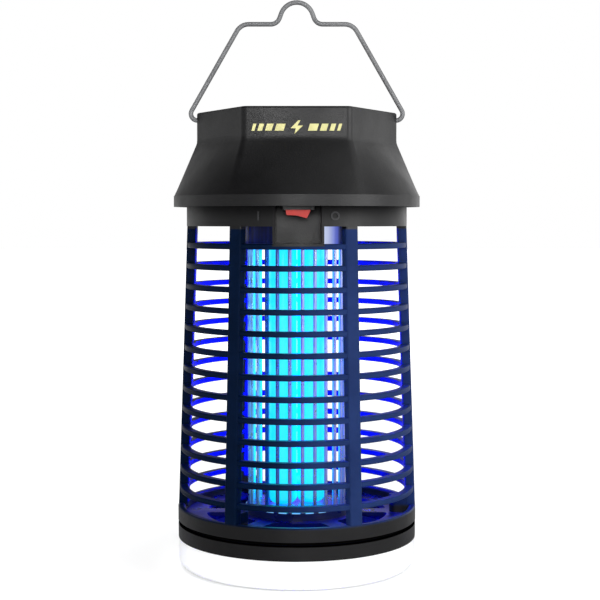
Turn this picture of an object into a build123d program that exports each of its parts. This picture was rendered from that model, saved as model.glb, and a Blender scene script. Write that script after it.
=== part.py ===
from build123d import *
import os
from math import cos, radians, sin

os.makedirs("parts", exist_ok=True)

# Electric bug zapper lantern. Millimetres, +Z up, front (switch side) towards -Y.
# The origin is the centre of the tray's underside, which is the lantern's foot.

# ------------------------------------------------------------------ driving dimensions
# Heights of the stack, from the foot upwards
cup_height = 16.0
collar_top = 23.7
band_bottom = 25.2
floor_top = 28.5
band_top = 33.0
window_top = 185.8
chassis_bottom = 196.9
chassis_top = 199.3
lip_bottom = 196.2
lip_top = 202.0
roof_top = 230.9
cap_top = 247.3

# Tray
cup_radius = 65.0
cup_round = 5.0
cup_floor = 2.2
cup_inner_radius = 62.4
rim_radius = 63.9
rim_top = 23.5
collar_radius = 65.3

# Cage
band_radius = 65.4
band_inner_radius = 61.4
bar_radius_low = 65.2
bar_radius_high = 59.85
bar_depth = 5.3
bar_width = 7.2
bar_count = 6
bar_turn = -1.9
ring_count = 13
ring_pitch = 11.1
ring_top_z = 175.5
ring_height = 2.9
ring_depth = 4.8
ring_recess = 0.5
top_ring_radius = 60.0
top_ring_wall = 2.8

# Twist thread between the floor plate's skirt and the tray: three starts
thread_starts = 3
thread_lead = 60.0
thread_span = 20.0
lug_height = 1.8
lug_gap = 0.15
skirt_radius = 60.0
skirt_inner_radius = 57.8
skirt_bottom = 15.8
skirt_lug_radius = 61.8
cup_lug_radius = 60.5
skirt_lug_z = 18.6
embed = 0.5

# Cap
lip_radius = 67.0
lip_inner_radius = 64.8
roof_radius = 66.8
head_corner_radius = 55.0
head_corner_round = 4.0
roof_blend = 7.0
cap_wall = 2.6
cap_top_wall = 2.4
crease_half_angle = 12.0

# Switch pocket and rocker switch
pocket_half_width = 13.1
pocket_wall = 1.3
pocket_bottom = 175.8
pocket_back_y = -47.0
switch_x = 0.8
switch_y = -53.6
rocker_pivot_z = 196.5
rocker_tilt = 9.0
rocker_half_length = 5.2
rocker_shoulder = 6.4
rocker_width = 7.8

# High-voltage grid and lamp
rod_count = 24
rod_circle = 26.0
rod_radius = 1.0
rod_bottom = 29.7
rod_start_angle = -83.3
holder_plate_bottom = 174.0
holder_plate_top = 177.2
washer_a_z = 177.3
washer_b_z = 183.0
washer_thickness = 1.0
lamp_turn = 15.0
tube_offset = 7.9
tube_radius = 7.6
tube_wall = 1.0
tube_bottom = 33.4
tube_end_round = 3.5
tube_top = 178.0

# Bail
wire_radius = 1.25
pivot_z = 243.25
pivot_inner_x = 44.5
pivot_clearance = 0.05

# Mains inlet in the back face of the head
inlet_z = 239.6
inlet_pin_x = 4.3

# Fasteners
boss_x = 45.9
boss_y = 26.5
floor_boss_radius = 54.5
holder_screw_circle = 32.6
screw_radius = 1.45
screw_bore = 1.5
screw_clearance = 1.7
head_radius = 2.7
head_height = 2.0

# Circuit board
board_x = 70.0
board_y = 50.0
board_bottom = 213.8
board_top = 215.4
pillar_x = 31.0
pillar_y = 21.0

# ------------------------------------------------------------------ derived values
head_apothem = head_corner_radius * cos(radians(30))
bar_slope = (bar_radius_high - bar_radius_low) / (window_top - band_top)
cup_lug_z = skirt_lug_z + lug_height + lug_gap
electrode_pitch = 720.0 / rod_count


def bar_radius(z):
    """Radius of the bars' outer faces at height z."""
    return bar_radius_low + bar_slope * (z - band_top)


# ------------------------------------------------------------------ shared shapes
def rounded_hexagon(corner_radius, rounding):
    """Hexagon with a corner on +X, drawn as twelve edges: a corner arc and a side, six times."""
    reach = corner_radius - rounding / cos(radians(30))
    with BuildSketch() as hexagon:
        with BuildLine():
            for k in range(6):
                angle = 60 * k
                centre = (reach * cos(radians(angle)), reach * sin(radians(angle)))
                corner = CenterArc(centre, rounding, angle - 30, 60)
                following = (
                    reach * cos(radians(angle + 60)) + rounding * cos(radians(angle + 30)),
                    reach * sin(radians(angle + 60)) + rounding * sin(radians(angle + 30)),
                )
                Line(corner @ 1, following)
        make_face()
    return hexagon.sketch


def split_circle(radius, half_angle):
    """Circle drawn as twelve arcs that match the edges of rounded_hexagon."""
    with BuildSketch() as circle:
        with BuildLine():
            for k in range(6):
                CenterArc((0, 0), radius, 60 * k - half_angle, 2 * half_angle)
                CenterArc((0, 0), radius, 60 * k + half_angle, 60 - 2 * half_angle)
        make_face()
    return circle.sketch


def ring_solid(inner, outer, bottom, top):
    """Plain round ring between two heights."""
    with BuildPart() as ring:
        with BuildSketch(Plane.XY.offset(bottom)):
            Circle(outer)
            Circle(inner, mode=Mode.SUBTRACT)
        extrude(amount=top - bottom)
    return ring.part


def helical_lug(inner, outer, middle_z):
    """One lug of the twist thread, centred on +X: a short right-hand helical ridge."""
    rise = thread_lead * thread_span / 360
    middle = (inner + outer) / 2
    with BuildPart() as lug:
        with BuildLine() as path:
            Helix(thread_lead, rise, middle, center=(0, 0, middle_z - rise / 2))
        with BuildSketch(Plane(origin=path.line @ 0, x_dir=(1, 0, 0), z_dir=path.line % 0)):
            Rectangle(outer - inner, lug_height)
        sweep(path=path.line, is_frenet=True)
    return lug.part.rotate(Axis.Z, -thread_span / 2)


def pan_screw(length, radius=screw_radius, cap_radius=head_radius, cap_height=head_height):
    """Pan-head screw standing on its head: head below z = 0, shank above it."""
    with BuildPart() as screw:
        with BuildSketch(Plane.XY.offset(-cap_height)):
            Circle(cap_radius)
        extrude(amount=cap_height)
        fillet(screw.edges().sort_by(Axis.Z)[0], cap_height * 0.4)
        with BuildSketch(Plane.XY.offset(-cap_height)):
            Rectangle(cap_radius * 1.2, cap_radius * 0.25)
            Rectangle(cap_radius * 0.25, cap_radius * 1.2)
        extrude(amount=cap_height * 0.55, mode=Mode.SUBTRACT)
        with BuildSketch(Plane.XY):
            Circle(radius)
        extrude(amount=length)
        chamfer(screw.edges().sort_by(Axis.Z)[-1], radius * 0.3)
    return screw.part


def wire(points, radius, bend):
    """Round insulated wire along a polyline with rounded bends."""
    with BuildPart() as lead:
        with BuildLine() as path:
            FilletPolyline(*points, radius=bend)
        with BuildSketch(Plane(origin=path.line @ 0, z_dir=path.line % 0)):
            Circle(radius)
        sweep(path=path.line)
    return lead.part


def axial_component(body_radius, body_length, pitch, height):
    """Axial part lying along X above the board: body, and two leads bent down to the board."""
    lead_radius = 0.35
    lead_bend = 0.8
    half = pitch / 2
    with BuildPart() as component:
        with BuildLine(Plane.XZ) as path:
            FilletPolyline((-half, 0), (-half, height), (half, height), (half, 0), radius=lead_bend)
        with BuildSketch(Plane(origin=path.line @ 0, z_dir=path.line % 0)):
            Circle(lead_radius)
        sweep(path=path.line)
        with BuildSketch(Plane.YZ.offset(-body_length / 2)):
            with Locations((0, height)):
                Circle(body_radius)
        extrude(amount=body_length)
    return component.part


# ------------------------------------------------------------------ tray
# Frosted cup: the lantern's foot, with the tray half of the twist thread inside its rim
inner_round = cup_round - cup_floor
with BuildPart() as tray_cup:
    with BuildSketch(Plane.XZ):
        with BuildLine():
            Polyline((0, cup_floor), (0, 0), (cup_radius - cup_round, 0))
            RadiusArc((cup_radius - cup_round, 0), (cup_radius, cup_round), -cup_round)
            Polyline(
                (cup_radius, cup_round),
                (cup_radius, cup_height),
                (rim_radius, cup_height),
                (rim_radius, rim_top),
                (cup_inner_radius, rim_top),
                (cup_inner_radius, cup_round),
            )
            RadiusArc(
                (cup_inner_radius, cup_round), (cup_inner_radius - inner_round, cup_floor), inner_round
            )
            Line((cup_inner_radius - inner_round, cup_floor), (0, cup_floor))
        make_face()
    revolve(axis=Axis.Z)
    with PolarLocations(0, thread_starts):
        add(helical_lug(cup_lug_radius, cup_inner_radius + embed, cup_lug_z))
tray_cup.part.label = "tray_cup"
export_step(tray_cup.part, "parts/tray_cup.step")

# Black collar pressed round the cup's rim
with BuildPart() as tray_collar:
    add(ring_solid(rim_radius + 0.05, collar_radius, cup_height, collar_top))
    fillet(tray_collar.edges().group_by(Axis.Z)[-1].sort_by(SortBy.LENGTH)[-1], 0.5)
tray_collar.part.label = "tray_collar"
export_step(tray_collar.part, "parts/tray_collar.step")

# Rubber seal between the cage and the tray
with BuildPart() as tray_seal:
    add(ring_solid(skirt_radius + 0.15, 63.4, collar_top + 0.05, band_bottom - 0.05))
    fillet(tray_seal.edges(), 0.5)
tray_seal.part.label = "tray_seal"
export_step(tray_seal.part, "parts/tray_seal.step")

# ------------------------------------------------------------------ floor plate
# Plate with six drop openings between its spokes, and the skirt with the housing's half of the thread
floor_plate_thickness = 2.3
floor_bottom = floor_top - floor_plate_thickness
opening_inner = 34.0
opening_outer = 50.0
spoke_width = 10.0
with BuildPart() as floor_plate:
    with BuildSketch(Plane.XY.offset(floor_bottom)):
        Circle(band_inner_radius - 0.3)
    extrude(amount=floor_plate_thickness)
    with BuildSketch(Plane.XY.offset(floor_bottom)) as drop_openings:
        Circle(opening_outer)
        Circle(opening_inner, mode=Mode.SUBTRACT)
        with PolarLocations(0, 3):
            Rectangle(2 * opening_outer + 10, spoke_width, mode=Mode.SUBTRACT)
        fillet(drop_openings.vertices(), 2.5)
    extrude(amount=floor_plate_thickness, mode=Mode.SUBTRACT)
    add(ring_solid(skirt_inner_radius, skirt_radius, skirt_bottom, floor_bottom))
    with PolarLocations(0, thread_starts):
        add(helical_lug(skirt_radius - embed, skirt_lug_radius, skirt_lug_z))
    with BuildSketch(Plane.XY.offset(floor_bottom)):
        Circle(screw_clearance)
        with PolarLocations(floor_boss_radius, 3, start_angle=bar_turn):
            Circle(screw_clearance)
    extrude(amount=floor_plate_thickness, mode=Mode.SUBTRACT)
floor_plate.part.label = "floor_plate"
export_step(floor_plate.part, "parts/floor_plate.step")

# ------------------------------------------------------------------ cage
# One bar, leaning inwards as it rises
bar_foot_z = 31.0
bar_head_z = 188.0
bar_edge_round = 0.9
with BuildPart() as bar:
    for bar_end_z in (bar_foot_z, bar_head_z):
        with BuildSketch(Plane.XY.offset(bar_end_z)):
            with Locations((bar_radius(bar_end_z) - bar_depth / 2, 0)):
                RectangleRounded(bar_depth, bar_width, bar_edge_round)
    loft(ruled=True)

# Switch pocket: a box open at the front and top, its front following the ring's curve
pocket_depth = 20.0
pocket_rim_radius = top_ring_radius + 0.4
groove_width = 0.9
groove_depth = 1.2
groove_x = pocket_half_width - pocket_wall - groove_width / 2
pocket_middle_z = (pocket_bottom + chassis_bottom) / 2
with BuildPart() as pocket:
    with BuildSketch(Plane.XZ.offset(-pocket_back_y - pocket_wall)) as pocket_outline:
        with Locations((switch_x, pocket_middle_z)):
            Rectangle(2 * pocket_half_width, chassis_bottom - pocket_bottom)
        fillet(pocket_outline.vertices().group_by(Axis.Y)[0], 1.8)
    extrude(amount=pocket_depth)
    with BuildSketch(Plane.XY.offset(pocket_bottom)):
        Circle(pocket_rim_radius)
    extrude(amount=chassis_bottom - pocket_bottom, mode=Mode.INTERSECT)

# Recess inside the pocket, with a narrow groove down each side of its back panel
with BuildPart() as pocket_recess:
    with BuildSketch(Plane.XZ.offset(-pocket_back_y)) as recess_outline:
        with Locations((switch_x, pocket_middle_z + pocket_wall / 2)):
            Rectangle(
                2 * (pocket_half_width - pocket_wall), chassis_bottom - pocket_bottom - pocket_wall
            )
        fillet(recess_outline.vertices().group_by(Axis.Y)[0], 0.8)
    extrude(amount=pocket_depth)
    with BuildSketch(Plane.XZ.offset(-pocket_back_y - groove_depth)):
        with Locations(
            (switch_x - groove_x, pocket_middle_z + pocket_wall),
            (switch_x + groove_x, pocket_middle_z + pocket_wall),
        ):
            Rectangle(groove_width, chassis_bottom - pocket_bottom - 2 * pocket_wall)
    extrude(amount=groove_depth)

# Raised switch marks on the top ring: a bar for on, a circle for off
mark_x = 19.5
mark_z = 191.2
mark_height = 4.6
mark_stroke = 0.9
mark_relief = 0.35
with BuildPart() as switch_marks:
    with BuildSketch(Plane.XZ.offset(top_ring_radius - 8)):
        with Locations((-mark_x, mark_z)):
            Rectangle(mark_stroke, mark_height)
        with Locations((mark_x, mark_z)):
            Circle(mark_height / 2)
            Circle(mark_height / 2 - mark_stroke, mode=Mode.SUBTRACT)
    extrude(amount=10)
    with BuildSketch(Plane.XY.offset(mark_z - mark_height)):
        Circle(top_ring_radius + mark_relief)
        Circle(top_ring_radius - 0.5, mode=Mode.SUBTRACT)
    extrude(amount=2 * mark_height, mode=Mode.INTERSECT)

lug_pad_thickness = 3.0
lug_pad_bottom = chassis_bottom - lug_pad_thickness
floor_boss_top = 38.0
with BuildPart() as cage:
    # bottom band, with its inner top edge chamfered
    with BuildSketch(Plane.XZ):
        with BuildLine():
            Polyline(
                (band_inner_radius, band_bottom),
                (band_radius, band_bottom),
                (band_radius, band_top - 0.6),
                (band_radius - 0.6, band_top),
                (band_inner_radius + 1.2, band_top),
                (band_inner_radius, band_top - 1.2),
                close=True,
            )
        make_face()
    revolve(axis=Axis.Z)
    with PolarLocations(0, bar_count, start_angle=bar_turn):
        add(bar.part)
    # horizontal rings
    with BuildSketch(Plane.XZ):
        for k in range(ring_count):
            ring_z = ring_top_z - k * ring_pitch
            with Locations((bar_radius(ring_z) - ring_recess - ring_depth / 2, ring_z)):
                RectangleRounded(ring_depth, ring_height, 0.7)
    revolve(axis=Axis.Z)
    # top ring, with pads for the screws that hold the cage under the cap
    add(ring_solid(top_ring_radius - top_ring_wall, top_ring_radius, window_top, chassis_bottom))
    with BuildSketch(Plane.XY.offset(lug_pad_bottom)):
        with GridLocations(2 * boss_x, 2 * boss_y, 2, 2):
            Circle(5.5)
    extrude(amount=lug_pad_thickness)
    # bosses behind three of the bars, for the floor plate's screws
    with BuildSketch(Plane.XY.offset(floor_top)):
        with PolarLocations(floor_boss_radius, 3, start_angle=bar_turn):
            Circle(3.5)
        with PolarLocations((floor_boss_radius + band_radius - 2) / 2, 3, start_angle=bar_turn):
            Rectangle(band_radius - 2 - floor_boss_radius, 7.0)
    extrude(amount=floor_boss_top - floor_top)
    add(pocket.part)
    add(pocket_recess.part, mode=Mode.SUBTRACT)
    add(switch_marks.part)
    # screw holes
    with BuildSketch(Plane.XY.offset(lug_pad_bottom)):
        with GridLocations(2 * boss_x, 2 * boss_y, 2, 2):
            Circle(screw_clearance)
    extrude(amount=lug_pad_thickness, mode=Mode.SUBTRACT)
    with BuildSketch(Plane.XY.offset(floor_top)):
        with PolarLocations(floor_boss_radius, 3, start_angle=bar_turn):
            Circle(screw_bore)
    extrude(amount=floor_boss_top - floor_top - 1.0, mode=Mode.SUBTRACT)
cage.part.label = "cage"
export_step(cage.part, "parts/cage.step")

# ------------------------------------------------------------------ cap
# Round lip, roof that flares from the hexagonal head to the lip, and the head itself
cap_inner_top = cap_top - cap_top_wall
inner_corner_radius = head_corner_radius - cap_wall / cos(radians(30))
pivot_boss_radius = 3.6
cap_boss_radius = 4.0
cap_boss_top = 215.5
cap_screw_depth = 12.5
inlet_body_width = 20.0
inlet_body_height = 10.2
inlet_flange_width = 24.4
inlet_flange_height = 12.8
inlet_flange_corner = 2.0
inlet_seat_gap = 0.2
with BuildPart() as top_cap:
    with BuildSketch(Plane.XY.offset(lip_bottom)):
        Circle(lip_radius)
    extrude(amount=lip_top - lip_bottom)
    with BuildSketch(Plane.XY.offset(lip_top)):
        add(split_circle(roof_radius, crease_half_angle))
    with BuildSketch(Plane.XY.offset(roof_top)):
        add(rounded_hexagon(head_corner_radius, head_corner_round))
    loft(ruled=True)
    with BuildSketch(Plane.XY.offset(roof_top)):
        add(rounded_hexagon(head_corner_radius, head_corner_round))
    extrude(amount=cap_top - roof_top)
    fillet(top_cap.faces().sort_by(Axis.Z)[-1].edges(), 1.2)
    # soft bend where the head's sides run out into the roof
    fillet(
        top_cap.edges().filter_by(lambda edge: abs(edge.center().Z - roof_top) < 0.01),
        roof_blend,
    )
    # hollow inside
    with BuildSketch(Plane.XY.offset(lip_bottom)):
        Circle(lip_inner_radius)
    extrude(amount=lip_top - lip_bottom, mode=Mode.SUBTRACT)
    with BuildSketch(Plane.XY.offset(lip_top)):
        add(split_circle(roof_radius - cap_wall, crease_half_angle))
    with BuildSketch(Plane.XY.offset(roof_top)):
        add(rounded_hexagon(inner_corner_radius, head_corner_round - 1.5))
    loft(ruled=True, mode=Mode.SUBTRACT)
    with BuildSketch(Plane.XY.offset(roof_top)):
        add(rounded_hexagon(inner_corner_radius, head_corner_round - 1.5))
    extrude(amount=cap_inner_top - roof_top, mode=Mode.SUBTRACT)
    # bosses for the bail's feet
    for side in (-1, 1):
        with BuildSketch(Plane.YZ.offset(side * pivot_inner_x)):
            with Locations((0, pivot_z)):
                Circle(pivot_boss_radius)
        extrude(amount=side * (head_corner_radius - pivot_inner_x - 2.0))
        with BuildSketch(Plane.YZ.offset(side * (pivot_inner_x - 1.0))):
            with Locations((0, pivot_z)):
                Circle(wire_radius + pivot_clearance)
        extrude(amount=side * 14.0, mode=Mode.SUBTRACT)
    # screw bosses
    with BuildSketch(Plane.XY.offset(chassis_top)):
        with GridLocations(2 * boss_x, 2 * boss_y, 2, 2):
            Circle(cap_boss_radius)
    extrude(amount=cap_boss_top - chassis_top)
    with BuildSketch(Plane.XY.offset(chassis_top)):
        with GridLocations(2 * boss_x, 2 * boss_y, 2, 2):
            Circle(screw_bore)
    extrude(amount=cap_screw_depth, mode=Mode.SUBTRACT)
    # flat seat for the mains inlet's flange, cut into the soft bend, and the opening behind it
    with BuildSketch(Plane.XZ.offset(-head_apothem - roof_blend)):
        with Locations((0, inlet_z)):
            RectangleRounded(
                inlet_flange_width + 2 * inlet_seat_gap,
                inlet_flange_height + 2 * inlet_seat_gap,
                inlet_flange_corner + inlet_seat_gap,
            )
    extrude(amount=roof_blend, mode=Mode.SUBTRACT)
    with BuildSketch(Plane.XZ.offset(-head_apothem - 1.0)):
        with Locations((0, inlet_z)):
            Rectangle(inlet_body_width + 2 * inlet_seat_gap, inlet_body_height + 2 * inlet_seat_gap)
    extrude(amount=cap_wall + 2.0, mode=Mode.SUBTRACT)
top_cap.part.label = "top_cap"
export_step(top_cap.part, "parts/top_cap.step")

# ------------------------------------------------------------------ bail
# Feet, sloping legs, level shoulders and a round hook hump, all from one wire
bail_foot_corner = 60.3
bail_shoulder_x = 30.4
bail_shoulder_z = 295.2
hump_foot_x = 10.56
hump_tangent_z = 324.2
elbow_radius = 3.6
shoulder_bend = 7.5
hump_foot_bend = 5.0
hump_radius = 9.0
bail_right = [
    (hump_foot_x, bail_shoulder_z),
    (bail_shoulder_x, bail_shoulder_z),
    (bail_foot_corner, pivot_z),
    (pivot_inner_x, pivot_z),
]
bail_left = [(-x, z) for x, z in reversed(bail_right)]
with BuildPart() as bail_handle:
    with BuildLine(Plane.XZ) as bail_path:
        FilletPolyline(
            *bail_left,
            (0, hump_tangent_z),
            *bail_right,
            radius=(
                elbow_radius,
                shoulder_bend,
                hump_foot_bend,
                hump_radius,
                hump_foot_bend,
                shoulder_bend,
                elbow_radius,
            ),
        )
    with BuildSketch(Plane(origin=bail_path.line @ 0, z_dir=bail_path.line % 0)):
        Circle(wire_radius)
    sweep(path=bail_path.line)
bail_handle.part.label = "bail_handle"
export_step(bail_handle.part, "parts/bail_handle.step")

# ------------------------------------------------------------------ chassis plate
chassis_thickness = chassis_top - chassis_bottom
socket_screw_x = 20.6
wire_a_y = 20.2
wire_b_y = 22.45
wire_hole_x = 5.0
holder_boss_top = 204.0
with BuildPart() as chassis_plate:
    with BuildSketch(Plane.XY.offset(chassis_bottom)):
        Circle(lip_inner_radius - 0.2)
    extrude(amount=chassis_thickness)
    with BuildSketch(Plane.XY.offset(chassis_top)):
        with GridLocations(2 * pillar_x, 2 * pillar_y, 2, 2):
            Circle(3.2)
    extrude(amount=board_bottom - chassis_top)
    with BuildSketch(Plane.XY.offset(chassis_top)):
        with PolarLocations(holder_screw_circle, 3):
            Circle(3.25)
    extrude(amount=holder_boss_top - chassis_top)
    with BuildSketch(Plane.XY.offset(chassis_bottom - 4.0)):
        with PolarLocations(socket_screw_x, 2, start_angle=lamp_turn):
            Circle(3.0)
    extrude(amount=4.0)
    # lamp socket, switch and wire openings
    with BuildSketch(Plane.XY.offset(chassis_bottom)):
        RectangleRounded(34.4, 21.4, 2.0, rotation=lamp_turn)
        with Locations((switch_x, switch_y)):
            Rectangle(14.3, 10.3)
        with Locations((-wire_hole_x, wire_a_y), (wire_hole_x, wire_b_y)):
            Circle(1.6)
        with GridLocations(2 * boss_x, 2 * boss_y, 2, 2):
            Circle(screw_clearance)
    extrude(amount=chassis_thickness, mode=Mode.SUBTRACT)
    # screw bores
    with BuildSketch(Plane.XY.offset(board_bottom)):
        with GridLocations(2 * pillar_x, 2 * pillar_y, 2, 2):
            Circle(screw_bore)
    extrude(amount=-10.0, mode=Mode.SUBTRACT)
    with BuildSketch(Plane.XY.offset(chassis_bottom)):
        with PolarLocations(holder_screw_circle, 3):
            Circle(screw_bore)
    extrude(amount=6.2, mode=Mode.SUBTRACT)
    with BuildSketch(Plane.XY.offset(chassis_top)):
        with PolarLocations(socket_screw_x, 2, start_angle=lamp_turn):
            Circle(screw_bore)
    extrude(amount=-6.0, mode=Mode.SUBTRACT)
chassis_plate.part.label = "chassis_plate"
export_step(chassis_plate.part, "parts/chassis_plate.step")

# ------------------------------------------------------------------ rocker switch
bezel_bottom = 194.2
switch_body_top = 207.4
terminal_x = 4.0
with BuildPart() as switch_body:
    with BuildSketch(Plane.XY.offset(bezel_bottom)):
        with Locations((switch_x, switch_y)):
            RectangleRounded(16.4, 11.8, 0.8)
    extrude(amount=chassis_bottom - bezel_bottom)
    with BuildSketch(Plane.XY.offset(chassis_bottom)):
        with Locations((switch_x, switch_y)):
            Rectangle(14.0, 10.0)
    extrude(amount=switch_body_top - chassis_bottom)
    # opening in the bezel, cavity above it, pivot holes and terminal slots
    with BuildSketch(Plane.XY.offset(bezel_bottom)):
        with Locations((switch_x, switch_y)):
            Rectangle(13.8, rocker_width + 0.4)
    extrude(amount=chassis_bottom - bezel_bottom, mode=Mode.SUBTRACT)
    with BuildSketch(Plane.XY.offset(chassis_bottom)):
        with Locations((switch_x, switch_y)):
            Rectangle(12.8, rocker_width + 0.4)
    extrude(amount=5.0, mode=Mode.SUBTRACT)
    with BuildSketch(Plane.XZ.offset(-switch_y - 5.0)):
        with Locations((switch_x, rocker_pivot_z)):
            Circle(1.25)
    extrude(amount=10.0, mode=Mode.SUBTRACT)
    with BuildSketch(Plane.XY.offset(switch_body_top)):
        with Locations((switch_x - terminal_x, switch_y), (switch_x + terminal_x, switch_y)):
            Rectangle(0.9, 3.7)
    extrude(amount=-4.4, mode=Mode.SUBTRACT)
switch_body.part.label = "switch_body"
export_step(switch_body.part, "parts/switch_body.step")

# Rocker drawn square to its own middle position, then tilted to the on position:
# the left end pressed in, the right end standing proud below the bezel
rocker_plane = Plane(
    origin=(switch_x, switch_y, rocker_pivot_z),
    x_dir=(cos(radians(rocker_tilt)), 0, -sin(radians(rocker_tilt))),
    z_dir=(0, -1, 0),
)
with BuildPart() as switch_rocker:
    with BuildSketch(rocker_plane) as rocker_outline:
        with BuildLine():
            Polyline(
                (-rocker_half_length, -5.75),
                (0, -5.2),
                (rocker_half_length, -5.75),
                (rocker_shoulder, -2.0),
                (5.5, 2.2),
                (-5.5, 2.2),
                (-rocker_shoulder, -2.0),
                close=True,
            )
        make_face()
        fillet(rocker_outline.vertices().group_by(Axis.Y)[0], 0.5)
    extrude(amount=rocker_width / 2, both=True)
    with BuildSketch(rocker_plane):
        Circle(1.2)
    extrude(amount=rocker_width / 2 + 0.9, both=True)
switch_rocker.part.label = "switch_rocker"
export_step(switch_rocker.part, "parts/switch_rocker.step")

terminal_top = 213.6
with BuildPart() as switch_terminals:
    with BuildSketch(Plane.XY.offset(switch_body_top - 4.2)):
        with Locations((switch_x - terminal_x, switch_y), (switch_x + terminal_x, switch_y)):
            Rectangle(0.8, 3.6)
    extrude(amount=terminal_top - switch_body_top + 4.2)
switch_terminals.part.label = "switch_terminals"
export_step(switch_terminals.part, "parts/switch_terminals.step")

# ------------------------------------------------------------------ grid holders
lamp_base_x = 33.2
lamp_base_y = 19.0
holder_radius = 29.6
holder_wall = 1.8
flange_radius = 36.0
flange_thickness = 2.0
rod_hole_radius = 1.1
with BuildPart() as upper_grid_holder:
    add(ring_solid(holder_radius - holder_wall, holder_radius, holder_plate_bottom, chassis_bottom))
    add(ring_solid(holder_radius, flange_radius, chassis_bottom - flange_thickness, chassis_bottom))
    with BuildSketch(Plane.XY.offset(holder_plate_bottom)):
        Circle(holder_radius)
        RectangleRounded(lamp_base_x + 1.0, lamp_base_y + 1.0, 4.0, rotation=lamp_turn, mode=Mode.SUBTRACT)
        with PolarLocations(rod_circle, rod_count, start_angle=rod_start_angle):
            Circle(rod_hole_radius, mode=Mode.SUBTRACT)
    extrude(amount=holder_plate_top - holder_plate_bottom)
    with BuildSketch(Plane.XY.offset(chassis_bottom - flange_thickness)):
        with PolarLocations(holder_screw_circle, 3):
            Circle(screw_clearance)
    extrude(amount=flange_thickness, mode=Mode.SUBTRACT)
upper_grid_holder.part.label = "upper_grid_holder"
export_step(upper_grid_holder.part, "parts/upper_grid_holder.step")

lower_holder_top = 32.8
with BuildPart() as lower_grid_holder:
    with BuildSketch(Plane.XY.offset(floor_top)):
        Circle(28.2)
    extrude(amount=lower_holder_top - floor_top)
    fillet(lower_grid_holder.edges().group_by(Axis.Z)[-1], 0.5)
    with BuildSketch(Plane.XY.offset(rod_bottom - 0.2)):
        with PolarLocations(rod_circle, rod_count, start_angle=rod_start_angle):
            Circle(rod_hole_radius)
    extrude(amount=lower_holder_top - rod_bottom + 0.2, mode=Mode.SUBTRACT)
    with BuildSketch(Plane.XY.offset(floor_top)):
        Circle(screw_bore)
    extrude(amount=2.8, mode=Mode.SUBTRACT)
lower_grid_holder.part.label = "lower_grid_holder"
export_step(lower_grid_holder.part, "parts/lower_grid_holder.step")


# ------------------------------------------------------------------ electrodes
def electrode(first_angle, washer_z, washer_inner):
    """Half of the grid: a collector washer whose tabs carry every second rod."""
    tab_length = rod_circle - washer_inner
    with BuildPart() as comb:
        with BuildSketch(Plane.XY.offset(washer_z)):
            Circle(24.0)
            with PolarLocations((washer_inner + rod_circle) / 2, rod_count // 2, start_angle=first_angle):
                Rectangle(tab_length, 3.2)
            Circle(washer_inner, mode=Mode.SUBTRACT)
            with PolarLocations(rod_circle, rod_count // 2, start_angle=first_angle):
                Circle(1.6)
        extrude(amount=washer_thickness)
        with BuildSketch(Plane.XY.offset(rod_bottom)):
            with PolarLocations(rod_circle, rod_count // 2, start_angle=first_angle):
                Circle(rod_radius)
        extrude(amount=washer_z + washer_thickness - rod_bottom)
    return comb.part


with BuildPart() as grid_electrode_a:
    add(electrode(rod_start_angle, washer_a_z, 19.6))
grid_electrode_a.part.label = "grid_electrode_a"
export_step(grid_electrode_a.part, "parts/grid_electrode_a.step")

with BuildPart() as grid_electrode_b:
    add(electrode(rod_start_angle + electrode_pitch / 2, washer_b_z, 22.0))
grid_electrode_b.part.label = "grid_electrode_b"
export_step(grid_electrode_b.part, "parts/grid_electrode_b.step")

# ------------------------------------------------------------------ lamp
# Two glass tubes joined by a short bridge near their lower ends, turned a little about the axis
bridge_z = 46.0
bridge_radius = 3.6
lamp_x_dir = (cos(radians(lamp_turn)), sin(radians(lamp_turn)), 0)


def rounded_rod(radius, bottom, top, rounding):
    """Upright round rod with its lower edge rounded."""
    with BuildPart() as rod:
        with BuildSketch(Plane.XY.offset(bottom)):
            Circle(radius)
        extrude(amount=top - bottom)
        fillet(rod.edges().group_by(Axis.Z)[0], rounding)
    return rod.part


with BuildPart() as lamp_tubes:
    for skin, mode in ((0.0, Mode.ADD), (tube_wall, Mode.SUBTRACT)):
        with PolarLocations(tube_offset, 2, start_angle=lamp_turn):
            add(
                rounded_rod(tube_radius - skin, tube_bottom + skin, tube_top, tube_end_round - skin),
                mode=mode,
            )
        with BuildSketch(Plane(origin=(0, 0, bridge_z), z_dir=lamp_x_dir)):
            Circle(bridge_radius - skin)
        extrude(amount=tube_offset, both=True, mode=mode)
lamp_tubes.part.label = "lamp_tubes"
export_step(lamp_tubes.part, "parts/lamp_tubes.step")

lamp_base_bottom = 174.2
lamp_base_top = 192.0
key_size = 12.0
key_top = 202.0
lamp_pin_x = 11.5
lamp_pin_radius = 1.18
with BuildPart() as lamp_base:
    with BuildSketch(Plane.XY.offset(lamp_base_bottom)):
        RectangleRounded(lamp_base_x, lamp_base_y, 4.5, rotation=lamp_turn)
    extrude(amount=lamp_base_top - lamp_base_bottom)
    with BuildSketch(Plane.XY.offset(lamp_base_top)):
        RectangleRounded(key_size, key_size, 1.0, rotation=lamp_turn)
    extrude(amount=key_top - lamp_base_top)
    with BuildSketch(Plane.XY.offset(lamp_base_bottom)):
        with PolarLocations(tube_offset, 2, start_angle=lamp_turn):
            Circle(tube_radius + 0.05)
    extrude(amount=tube_top - lamp_base_bottom + 0.1, mode=Mode.SUBTRACT)
    with BuildSketch(Plane.XY.offset(lamp_base_top)):
        with PolarLocations(lamp_pin_x, 2, start_angle=lamp_turn):
            Circle(lamp_pin_radius + 0.02)
    extrude(amount=-4.0, mode=Mode.SUBTRACT)
lamp_base.part.label = "lamp_base"
export_step(lamp_base.part, "parts/lamp_base.step")

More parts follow.
